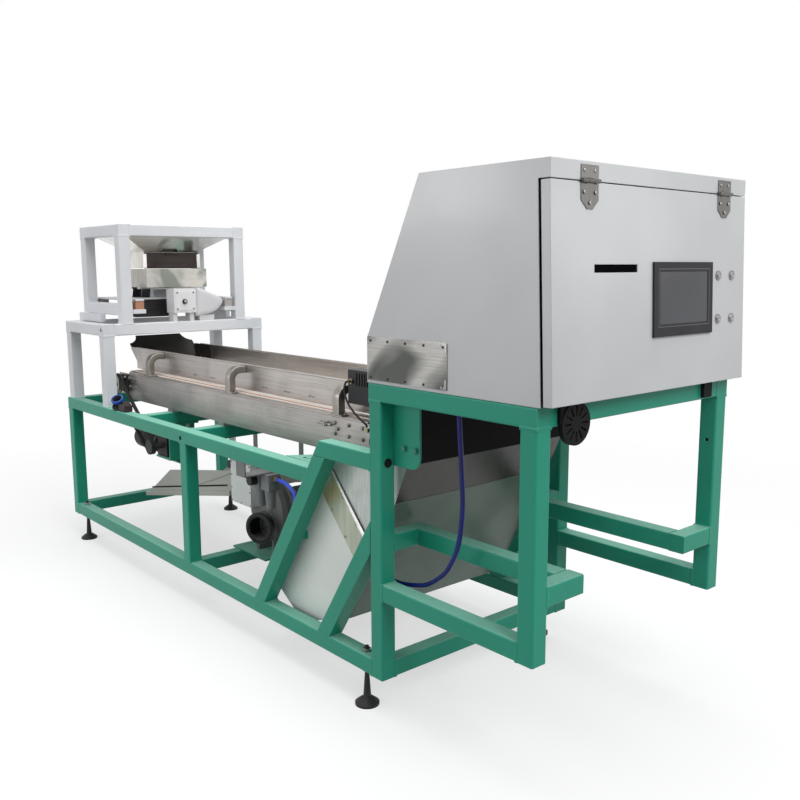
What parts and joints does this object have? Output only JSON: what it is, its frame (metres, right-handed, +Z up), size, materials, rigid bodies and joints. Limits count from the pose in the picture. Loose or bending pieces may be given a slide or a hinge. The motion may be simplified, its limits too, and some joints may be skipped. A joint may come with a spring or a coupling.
{
  "type": "optical colour sorter",
  "caption": "Belt-type optical colour sorter: hopper and vibrating feeder on a stand, guarded belt on a welded tube frame, camera cabinet with a top-hinged door and a slanted discharge chute.",
  "frame": {"origin": "centre of the bounding box on the floor", "axes": "+X along the belt from the feeder to the operator's door, +Y to the far side, +Z up"},
  "size_m": [3.4708, 0.9958, 1.785],
  "materials": {
    "green_enamel": "gloss enamel",
    "black_plastic": "fine grain",
    "zinc_steel": "zinc plated",
    "dark_screws": "black oxide",
    "white_enamel": "gloss enamel",
    "control_plastic": "satin",
    "stainless": "brushed sheet",
    "spring_rubber": "matt",
    "hood_plastic": "satin",
    "aluminium": "drawn",
    "belt_white": "smooth matt",
    "cast_black": "painted casting",
    "cast_grey": "painted casting",
    "grey_enamel": "satin enamel",
    "screen_glass": "polished",
    "button_chrome": "polished",
    "brass_fittings": "turned",
    "blue_plastic": "extruded"
  },
  "bodies": {
    "frame": {"base_rails": "green_enamel", "frame_posts": "green_enamel", "upper_rails": "green_enamel", "slant_struts": "green_enamel", "cabinet_rails": "green_enamel", "bay_frame": "green_enamel", "support_brackets": "green_enamel", "levelling_feet": "black_plastic", "bolts": "zinc_steel", "front_fittings": "black_plastic", "feeder_stand": "white_enamel", "hopper_stand": "white_enamel", "hopper": "stainless", "feeder_base": "white_enamel", "feeder_springs": "spring_rubber", "control_box": "control_plastic", "drive_hood": "hood_plastic", "infeed_chute": "stainless", "side_plates": "stainless", "slider_bed": "aluminium", "belt": "belt_white", "roller_bearings": "cast_black", "take_ups": "zinc_steel", "guards": "stainless", "guard_brackets": "stainless", "gear_motor": "cast_grey", "drive_belt": "spring_rubber", "cabinet_shell": "grey_enamel", "cabinet_floor": "grey_enamel", "side_covers": "stainless", "screws": "dark_screws", "hinge_fixed": "zinc_steel", "chute_body": "grey_enamel", "chute_sides": "stainless", "lamp_box": "black_plastic", "ejector_bar": "aluminium", "cabinet_gear": "black_plastic", "blower": "cast_grey", "air_regulator": "aluminium", "cord_fittings": "brass_fittings", "air_hose": "blue_plastic", "belt_sensor": "black_plastic", "sensor_cable": "black_plastic", "power_inlet": "blue_plastic"},
    "door": {"front_door": "grey_enamel", "screen_bezel": "black_plastic", "door_glass": "screen_glass", "button_rings": "button_chrome", "hinge_moving": "zinc_steel"},
    "button_1": {"push_button_1": "button_chrome"},
    "button_2": {"push_button_2": "button_chrome"},
    "button_3": {"push_button_3": "button_chrome"},
    "button_4": {"push_button_4": "button_chrome"},
    "gate": {"hopper_gate": "stainless"},
    "tray": {"feeder_tray": "stainless"},
    "speed_knob": {"control_knob": "black_plastic"},
    "drive_roller": {"drive_roller": "aluminium"},
    "nose_roller": {"nose_roller": "aluminium"},
    "motor_pulley": {"motor_pulley": "zinc_steel"},
    "pressure_knob": {"regulator_knob": "black_plastic"}
  },
  "joints": [
    {"name": "door_hinge", "type": "hinge", "parent": "frame", "child": "door", "pos_m": [1.7183, 0, 1.735], "axis": [0, -1, 0], "range_deg": [0, 95]},
    {"name": "button_1_press", "type": "slide", "parent": "door", "child": "button_1", "axis": [-0.9992, 0, -0.0393], "range_m": [0, 0.003], "stiffness_N_per_m": 500, "springref_m": -0.004},
    {"name": "button_2_press", "type": "slide", "parent": "door", "child": "button_2", "axis": [-0.9992, 0, -0.0393], "range_m": [0, 0.003], "stiffness_N_per_m": 500, "springref_m": -0.004},
    {"name": "button_3_press", "type": "slide", "parent": "door", "child": "button_3", "axis": [-0.9992, 0, -0.0393], "range_m": [0, 0.003], "stiffness_N_per_m": 500, "springref_m": -0.004},
    {"name": "button_4_press", "type": "slide", "parent": "door", "child": "button_4", "axis": [-0.9992, 0, -0.0393], "range_m": [0, 0.003], "stiffness_N_per_m": 500, "springref_m": -0.004},
    {"name": "gate_slide", "type": "slide", "parent": "frame", "child": "gate", "axis": [0, 0, -1], "range_m": [0, 0.06]},
    {"name": "tray_shake", "type": "slide", "parent": "frame", "child": "tray", "axis": [1, 0, 0], "range_m": [-0.003, 0.003], "stiffness_N_per_m": 20000},
    {"name": "speed_turn", "type": "hinge", "parent": "frame", "child": "speed_knob", "pos_m": [-1.21, -0.014, 1.335], "axis": [1, 0, 0], "range_deg": [-150, 150]},
    {"name": "drive_spin", "type": "hinge", "parent": "frame", "child": "drive_roller", "pos_m": [-1.4, 0, 0.8957], "axis": [0, 1, 0], "continuous": true},
    {"name": "nose_spin", "type": "hinge", "parent": "frame", "child": "nose_roller", "pos_m": [0.8, 0, 0.8957], "axis": [0, 1, 0], "continuous": true},
    {"name": "motor_spin", "type": "hinge", "parent": "frame", "child": "motor_pulley", "pos_m": [-1.01, -0.336, 0.604], "axis": [0, 1, 0], "continuous": true},
    {"name": "pressure_turn", "type": "hinge", "parent": "frame", "child": "pressure_knob", "pos_m": [-0.003, -0.33, 0.617], "axis": [0, -1, 0], "range_deg": [-360, 360]}
  ],
  "couplings": [
    {"joint": "nose_spin", "follows": "drive_spin", "ratio": 1},
    {"joint": "motor_spin", "follows": "drive_spin", "ratio": 1.5}
  ]
}
